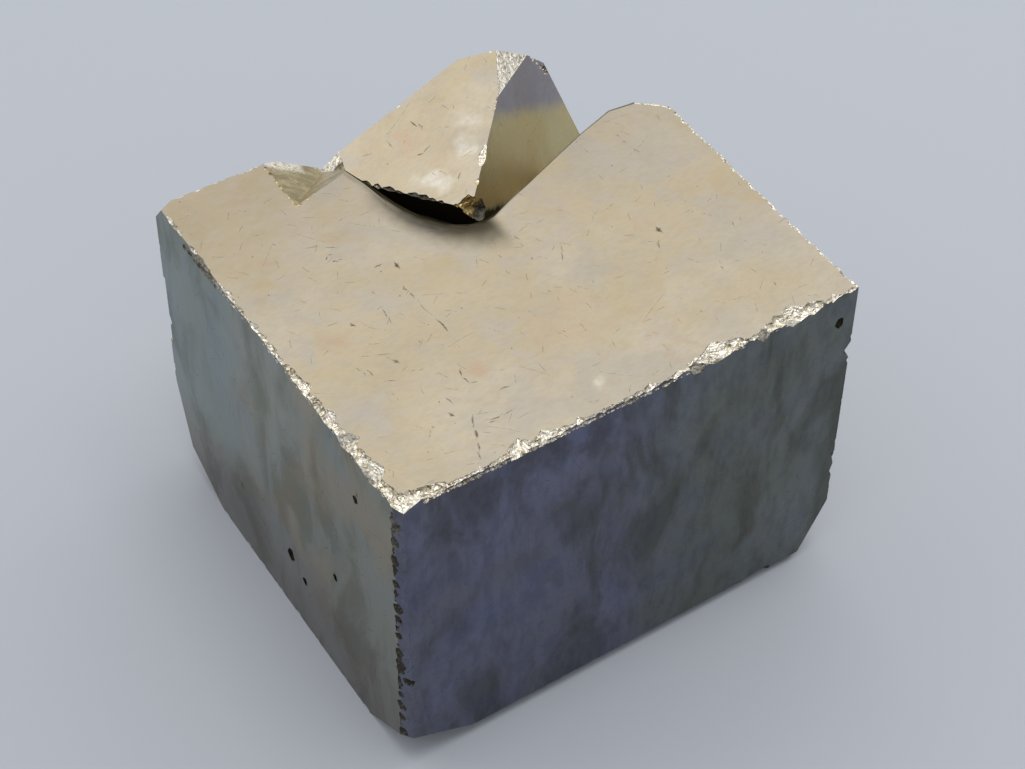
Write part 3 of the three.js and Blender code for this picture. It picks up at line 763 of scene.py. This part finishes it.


class Nodes:
    """Nodes of a material or world, made in one line each. Lengths and places are the tables'."""

    def __init__(self, owner, shader="Principled BSDF"):
        owner.use_nodes = True
        self.tree = owner.node_tree
        self.shader = self.tree.nodes[shader]
        coordinates = self.add("ShaderNodeTexCoord")
        self.normal = coordinates.outputs["Normal"]
        self.place = self.mapped(
            coordinates.outputs["Object"], Scale=(1 / MM,) * 3, Location=-FOOT_OF_EDGE,
        )

    def add(self, kind, inputs=None, **settings):
        """A new node. Its inputs are given by name or number."""
        node = self.tree.nodes.new(kind)
        for name, value in settings.items():
            setattr(node, name, value)
        for key, value in (inputs or {}).items():
            self.feed(node.inputs[key], value)
        return node

    def finish(self, inputs):
        """Feeds the shader itself."""
        for name, value in inputs.items():
            self.feed(self.shader.inputs[name], value)

    def feed(self, socket, value):
        if isinstance(value, bpy.types.NodeSocket):
            self.tree.links.new(value, socket)
        elif isinstance(value, tuple) and socket.type == "RGBA":
            socket.default_value = (*value, 1)
        else:
            socket.default_value = value

    def math(self, operation, *values):
        return self.add("ShaderNodeMath", dict(enumerate(values)), operation=operation).outputs[0]

    def times(self, *values):
        return reduce(lambda product, value: self.math("MULTIPLY", product, value), values)

    def most(self, *values):
        return reduce(lambda top, value: self.math("MAXIMUM", top, value), values)

    def without(self, share):
        return self.math("SUBTRACT", 1.0, share)

    def vector_math(self, operation, vector, other):
        inputs = {0: vector, "Scale" if operation == "SCALE" else 1: other}
        node = self.add("ShaderNodeVectorMath", inputs, operation=operation)
        return node.outputs["Value" if operation in ("DOT_PRODUCT", "DISTANCE") else "Vector"]

    def parts(self, vector):
        return self.add("ShaderNodeSeparateXYZ", {0: vector}).outputs

    def joined(self, x, y):
        return self.add("ShaderNodeCombineXYZ", {0: x, 1: y}).outputs[0]

    def mapped(self, at, vector_type="POINT", **inputs):
        inputs["Vector"] = at
        return self.add("ShaderNodeMapping", inputs, vector_type=vector_type).outputs[0]

    def turned(self, angles, stretch):
        """The place on the object, stretched and then turned."""
        rotation = tuple(math.radians(angle) for angle in angles)
        return self.mapped(self.place, Rotation=rotation, Scale=stretch)

    def noise(self, size, detail=4, roughness=0.5, at=None, distortion=0, output="Fac"):
        """Noise with features of about that size. Its value is about 0.5 on average."""
        return self.add("ShaderNodeTexNoise", {
            "Vector": at or self.place, "Scale": 1 / size, "Detail": detail,
            "Roughness": roughness, "Distortion": distortion,
        }).outputs[output]

    def bent(self, size, amount):
        """The place on the object, pushed about by noise."""
        push = self.noise(size, 1, output="Color")
        push = self.vector_math("SUBTRACT", push, (0.5, 0.5, 0.5))
        push = self.vector_math("SCALE", push, amount)
        return self.vector_math("ADD", self.place, push)

    def span(self, source, low, high, to_low=0.0, to_high=1.0):
        return self.add("ShaderNodeMapRange", {
            "Value": source, "From Min": low, "From Max": high, "To Min": to_low,
            "To Max": to_high,
        }, interpolation_type="SMOOTHSTEP").outputs["Result"]

    def patches(self, size, low, high, strength=1.0, **noise_settings):
        return self.span(self.noise(size, **noise_settings), low, high, 0, strength)

    def mix(self, share, under, over, blend="MIX"):
        inputs = {0: share, 6: under, 7: over}
        return self.add("ShaderNodeMix", inputs, data_type="RGBA", blend_type=blend).outputs[2]

    def flat_place(self):
        """The place on the face: along and up it on the sides, and X and Y on top."""
        x, y, z = self.parts(self.place)
        across, deep, high = (self.math("ABSOLUTE", part) for part in self.parts(self.normal))
        top = self.math("GREATER_THAN", high, 0.6)
        front = self.math("GREATER_THAN", deep, across)
        side = self.mix(front, self.joined(self.math("ADD", y, 311), z), self.joined(x, z))
        return self.mix(top, side, self.joined(x, self.math("ADD", y, 137)))

    def cells(self, at, size, **settings):
        return self.add("ShaderNodeTexVoronoi", {"Vector": at, "Scale": 1 / size}, **settings)

    def strokes(self, at, cell, half_length, half_width, bend, share):
        """Short curved hairlines turned any way, in that share of the cells."""
        node = self.cells(at, cell, voronoi_dimensions="2D")
        turn, chosen, kind = self.parts(node.outputs["Color"])
        away = self.vector_math("SUBTRACT", at, node.outputs["Position"])
        inputs = {"Vector": away, "Angle": self.times(turn, math.tau)}
        turned = self.add("ShaderNodeVectorRotate", inputs, rotation_type="Z_AXIS")
        along, off, _ = self.parts(turned.outputs[0])
        curve = self.times(self.math("SUBTRACT", kind, 0.5), bend)
        off = self.math("ADD", off, self.times(along, along, curve))
        thin = self.span(self.math("ABSOLUTE", off), half_width * 0.3, half_width, 1, 0)
        short = self.span(self.math("ABSOLUTE", along), half_length * 0.5, half_length, 1, 0)
        return self.times(thin, short, self.math("LESS_THAN", chosen, share))

    def spot(self, at, x, y, half_length, half_width, angle, solid):
        """An ellipse in X and Y: 1 as far out as solid says, and fading to 0 at its outline."""
        at = self.mapped(
            at, "TEXTURE", Location=(x, y, 0), Rotation=(0, 0, math.radians(angle)),
            Scale=(half_length, half_width, 1e4),
        )
        length = self.vector_math("DISTANCE", at, (0, 0, 0))
        return self.span(length, solid, 1, 1, 0)

    def pits(self, size, radius, share):
        """Round pits, in that share of the cells."""
        node = self.cells(self.place, size)
        near = self.span(node.outputs["Distance"], radius / size * 0.5, radius / size, 1, 0)
        return self.times(near, self.math("LESS_THAN", self.parts(node.outputs["Color"])[0], share))

    def close_to(self, middle, near, far, at=None):
        """1 nearer than near to that point, and fading to 0 at far."""
        return self.span(self.vector_math("DISTANCE", at or self.place, middle), near, far, 1, 0)

    def facing(self, direction, low, high):
        """1 where the surface faces that way."""
        direction = tuple(Vector(direction).normalized())
        return self.span(self.vector_math("DOT_PRODUCT", self.normal, direction), low, high)

    def bump(self, height, distance, under=None):
        inputs = {"Height": height, "Distance": distance * MM}
        if under:
            inputs["Normal"] = under
        return self.add("ShaderNodeBump", inputs).outputs["Normal"]


def brassy_metal(nodes, upward):
    """The colour of the metal: mottling, stains (on the small cube some are painted highlights),
    age towards the back, and a fine weave.
    """
    colour = PYRITE
    for size, low, high, strength, detail, distortion, tone in MOTTLING:
        here = nodes.patches(size, low, high, strength, detail=detail, distortion=distortion)
        colour = nodes.mix(here, colour, tone)
    cloudy = nodes.bent(2.5, 3.0)
    for *ellipse, tone, strength in STAINS:
        here = nodes.times(nodes.spot(cloudy, *ellipse, solid=0.1), strength, upward)
        colour = nodes.mix(here, colour, tone)
    back = nodes.span(nodes.parts(nodes.bent(9, 8))[1], 20, 40)
    level = nodes.span(nodes.parts(nodes.normal)[2], 0.93, 0.97)
    colour = nodes.mix(nodes.times(back, upward, level), colour, AGED_TINT, "MULTIPLY")
    for size, direction, narrowing, low, high, strength, tone in WEAVE:
        at = nodes.turned((0, 0, direction), (narrowing, 1, 1))
        here = nodes.patches(size, low, high, strength, at=at, detail=2, roughness=0.6)
        colour = nodes.mix(here, colour, tone)
    return colour


def side_smudges_and_painted_reflections(nodes, colour, mottle, upward, up_the_face, beside):
    """Tints the front face, the left face and the small cube's right face with painted reflections
    and painted shade, and adds smudges and streaks.
    """
    mix, span = nodes.mix, nodes.span
    _, y, z = nodes.parts(nodes.place)
    far_x, far_y, far_z = nodes.parts(nodes.bent(9, 8))
    smudges = span(mottle, 0.44, 0.66)
    streaks = nodes.turned((0, 50, 0), (1, 1, 0.35))
    streaks = nodes.patches(1.3, 0.4, 0.66, 0.4, at=streaks, detail=3, roughness=0.65)
    # The narrow strip left of the front face looks like it
    lean, start, full = STRIP
    strip = span(nodes.math("ADD", y, nodes.times(z, -lean)), start, full)
    strip = nodes.times(strip, nodes.without(upward))
    front = nodes.most(nodes.facing((0, -1, 0), 0.8, 0.95), strip)
    left = nodes.times(nodes.facing((-1, 0, 0), 0.8, 0.95), nodes.without(strip))

    # Front face: painted reflection and painted shade, darker and blue to green
    greener = span(far_x, 20, 36)
    on_front = mix(1.0, colour, mix(greener, INDIGO_TINT, GREEN_TINT), "MULTIPLY")
    on_front = mix(smudges, on_front, OLIVE_TINT, "MULTIPLY")
    on_front = mix(streaks, on_front, STREAK_TINT, "MULTIPLY")
    # Left face: painted reflection in slate and blue, painted darker towards the bottom as painted
    # shade
    slate = mix(nodes.patches(9, 0.45, 0.6, detail=1), SLATE_TINT, WARM_SLATE_TINT)
    slate = mix(span(far_y, 22, 34), slate, BLUE_TINT)
    slate = mix(span(far_z, 16, 3), slate, DARK_SLATE_TINT)
    on_left = mix(1.0, colour, slate, "MULTIPLY")
    on_left = mix(smudges, on_left, OLIVE_TINT, "MULTIPLY")
    # Small cube's right face: painted reflection, golden below and lavender above
    tint = mix(span(up_the_face, *LAVENDER_FROM), GOLDEN_TINT, LAVENDER_TINT)
    on_small = mix(1.0, colour, tint, "MULTIPLY")
    for share, tinted in ((front, on_front), (left, on_left), (beside, on_small)):
        colour = mix(share, colour, tinted)
    return colour, front


def scratched(nodes, flat, ragged):
    """Where dirt lies in scratches, pits and specks."""
    drawn = nodes.add("ShaderNodeAttribute", attribute_name="dirt").outputs["Fac"]
    drawn = nodes.span(drawn, 0, 0.85)
    *pits, strength = FINE_PITS
    strewn = nodes.times(nodes.pits(*pits), strength)
    for *stroke, strength in HAIRLINES:
        strewn = nodes.most(strewn, nodes.times(nodes.strokes(flat, *stroke), strength))
    broken = nodes.patches(0.45, 0.36, 0.56, detail=2)
    marks = nodes.most(
        nodes.times(strewn, broken), nodes.times(drawn, nodes.span(broken, 0, 1, 0.55, 1)),
    )
    for middle, radius in SPECKS:
        speck = nodes.times(nodes.close_to(middle, radius * 0.5, radius, at=ragged), 0.9)
        marks = nodes.most(marks, speck)
    return marks


def crystal_finish(nodes):
    """Grown faces: softly mottled brassy metal with hairline scratches and pits, painted
    reflections and shade on the sides, and painted shade in the recess.
    """
    span, times = nodes.span, nodes.times
    x, _, z = nodes.parts(nodes.place)
    height = nodes.parts(nodes.normal)[2]
    upward = span(height, 0.6, 0.85)
    flat = nodes.flat_place()
    ragged = nodes.bent(1.2, 0.8)
    ragged_x, _, ragged_z = nodes.parts(ragged)
    up_the_face = nodes.math("ADD", ragged_z, times(ragged_x, UP_THE_FACE))
    beside = nodes.facing(SMALL_RIGHT, 0.96, 0.99)
    mottle = nodes.noise(6, 3, 0.6, at=nodes.turned((0, 0, 0), (1, 1, 0.45)), distortion=0.6)
    colour = brassy_metal(nodes, upward)
    colour, front = side_smudges_and_painted_reflections(nodes, colour, mottle, upward, up_the_face, beside)
    marks = scratched(nodes, flat, ragged)
    nicks = times(nodes.strokes(flat, *EDGE_NICKS), front, span(x, 0.2, 1.4, 0.7, 0))

    # The recess is painted dark as painted shade: down from its rounded edge, and at the foot of
    # the small cube's face
    elsewhere = nodes.without(nodes.most(nodes.facing(SMALL_LEFT, 0.96, 0.99), beside))
    near = times(nodes.close_to(*RECESS), elsewhere)
    down = times(span(height, 0.995, 0.84), near)
    foot = times(span(up_the_face, *DARK_BELOW), beside)
    around = times(nodes.spot(ragged, *RECESS_SHADE), 0.93, elsewhere)
    around = times(around, span(x, 27, 25.4), span(z, *RECESS_DEPTH))
    colour = nodes.mix(marks, colour, DIRT)
    # Painted shade in and beside the recess, and the dark nicks, take the shadowed colour
    colour = nodes.mix(nodes.most(down, foot, around, nicks), colour, SHADOWED)
    # The dirt in the marks and the painted shade don't shine
    matt = times(span(height, 0.9995, 0.96), near)
    matt = nodes.most(matt, foot, around, times(marks, 0.7))
    rough = nodes.math("ADD", span(mottle, 0.3, 0.7, 0.18, 0.30), times(beside, 0.22))
    wavy = nodes.bump(nodes.noise(12, 0), 0.3)
    grained = nodes.bump(nodes.noise(1.2, 2, 0.6), 0.012, wavy)
    nodes.finish({
        "Base Color": colour, "Metallic": nodes.without(matt), "Specular IOR Level": 0,
        "Roughness": rough, "Normal": grained,
    })


def fracture_finish(nodes):
    """Fracture: grains painted bright, as painted light, where it looks up, and painted dark, as
    painted shade, where it doesn't.
    """
    mix, span, times = nodes.mix, nodes.span, nodes.times
    upward = span(nodes.parts(nodes.normal)[2], 0, 0.5)
    grains = nodes.patches(0.35, 0.32, 0.54, detail=4, roughness=0.7)
    bright = mix(grains, SHADED, BRIGHT)
    colour = mix(upward, mix(grains, PAINTED_SHADE_BLACK, SHADED), bright)
    streaks = nodes.patches(0.9, 0.35, 0.65, at=nodes.turned((0, 0, 30), (0.3, 1, 1)), detail=3)
    for middle, radius, light, dark in DULL_PLACES:
        here = nodes.close_to(middle, radius * 0.85, radius)
        colour = mix(here, colour, mix(streaks, light, dark))
    # The back rim of the notch is bright
    x, y, z = nodes.parts(nodes.bent(0.8, 0.8))
    rim = times(span(y, 43.4, 44.2), span(x, 18, 17), span(z, 35, 36))
    colour = mix(rim, colour, bright)
    # Painted shade darkens the chips under the edges, down the sides and over the recess
    outside = nodes.most(span(y, 1.6, 1.1), span(x, 1.6, 1.1))
    under_edge = times(outside, span(z, 37.6, 36.9, 0, 0.8))
    over_recess = times(
        nodes.close_to(*UNDER_RECESS_EDGE), 0.85, span(z, 36.8, 36.2),
        nodes.without(times(nodes.close_to(*CUT_CORNER), 0.8)),
    )
    plain = nodes.without(nodes.patches(0.22, 0.6, 0.66, detail=2))
    down = times(span(z, 31, 34, 0.9, 0), plain)
    near_edge = times(down, span(x, 3, 2), span(y, 3, 2))
    colour = mix(down, colour, UNLIT)
    black = nodes.most(under_edge, over_recess, near_edge)
    colour = mix(black, colour, PAINTED_SHADE_BLACK)
    darkened_pits = 0.0
    for middle, radius in PITS:
        darkened_pits = nodes.most(darkened_pits, nodes.close_to(middle, radius, radius * 1.2))
    colour = mix(darkened_pits, colour, SHADOWED)
    metal = times(nodes.without(nodes.most(black, down)), METAL_SHARE)
    metal = nodes.math("SUBTRACT", metal, times(rim, METAL_SHARE * 0.6))
    grainy = nodes.bump(nodes.noise(0.2, 3, 0.6), 0.06)
    nodes.finish({
        "Base Color": colour, "Metallic": metal, "Specular IOR Level": 0.2,
        "Roughness": span(grains, 0, 1, 0.5, 0.32), "Normal": grainy,
    })


crystal_finish(Nodes(crystal))
fracture_finish(Nodes(fracture))

# ---- Floor ----
FLOOR = 2.0  # half its side, in metres
FLOOR_GREY = (0.48, 0.51, 0.56)
FLOOR_ROUGHNESS = 0.8
floor_material = bpy.data.materials.new("floor")
Nodes(floor_material).finish({"Base Color": FLOOR_GREY, "Roughness": FLOOR_ROUGHNESS})
floor_mesh = bpy.data.meshes.new("floor")
floor_mesh.from_pydata(
    [(-FLOOR, -FLOOR, 0), (FLOOR, -FLOOR, 0), (FLOOR, FLOOR, 0), (-FLOOR, FLOOR, 0)],
    [], [(0, 1, 2, 3)],
)
floor_mesh.materials.append(floor_material)
floor = linked("floor", floor_mesh)


# ---- Light ----
SOFTBOX = (420, 340)
SMALL_SOFTBOX = (220, 200)
LIGHTS = [
    # name, place in millimetres of the frame, size, radiance
    ("window", (190, 275, 370), SOFTBOX, 0.65),
    ("key", (-240, 300, 330), SOFTBOX, 0.80),
    ("overhead", (0, -60, 430), SMALL_SOFTBOX, 3.0),
    ("side", (350, 0, 240), SMALL_SOFTBOX, 1.5),
]
LIGHTS_AIM = Vector((0, 0, 20))
WARM_WHITE = (1, 0.985, 0.96)


def soft_light(name, place_mm, size_mm, radiance):
    data = bpy.data.lights.new(name, "AREA")
    data.shape = "RECTANGLE"
    data.size, data.size_y = (side * MM for side in size_mm)
    data.energy = radiance * math.pi * size_mm[0] * size_mm[1] * MM * MM
    data.color = WARM_WHITE
    lamp = linked(name, data)
    lamp.location = Vector(place_mm) * MM
    aim = LIGHTS_AIM * MM - lamp.location
    lamp.rotation_mode = "QUATERNION"
    lamp.rotation_quaternion = aim.to_track_quat("-Z", "Y")


for light in LIGHTS:
    soft_light(*light)

# The studio's walls get brighter towards the ceiling
HORIZON = (0.25, 0.26, 0.29)
CEILING = (0.75, 0.76, 0.78)
WALLS = (0.2, 0.8)  # from the horizon to the ceiling, as the Z of the direction looked in
world = bpy.data.worlds.new("studio")
studio = Nodes(world, "Background")
upwards = studio.parts(studio.add("ShaderNodeTexCoord").outputs["Generated"])[2]
rise = studio.add("ShaderNodeMapRange", {
    "Value": upwards, "From Min": WALLS[0], "From Max": WALLS[1],
})
studio.finish({"Color": studio.mix(rise.outputs["Result"], HORIZON, CEILING)})
bpy.context.scene.world = world
bpy.context.scene.view_settings.view_transform = "Standard"

# ---- Camera ----
LENS = 72.06  # on a 36 mm wide sensor
EYE = (-54.15, -93.96, 173.99)  # in the tables' millimetres
HEADING = math.radians(55.168)
TILT = math.radians(47.839)  # below the horizon
ROLL = math.radians(2.463)

ahead = Vector((
    math.cos(TILT) * math.cos(HEADING), math.cos(TILT) * math.sin(HEADING), -math.sin(TILT),
))
level = Vector((math.sin(HEADING), -math.cos(HEADING), 0))
above = level.cross(ahead)
right = level * math.cos(ROLL) + above * math.sin(ROLL)
up = above * math.cos(ROLL) - level * math.sin(ROLL)
camera_data = bpy.data.cameras.new("camera")
camera_data.lens = LENS
camera_data.sensor_width = 36
camera_data.clip_start = 0.01
camera_data.clip_end = 20
camera = linked("camera", camera_data)
camera.matrix_world = Matrix.Translation(place(EYE) * MM) @ (
    Matrix((right, up, -ahead)).transposed().to_4x4()
)
bpy.context.scene.camera = camera
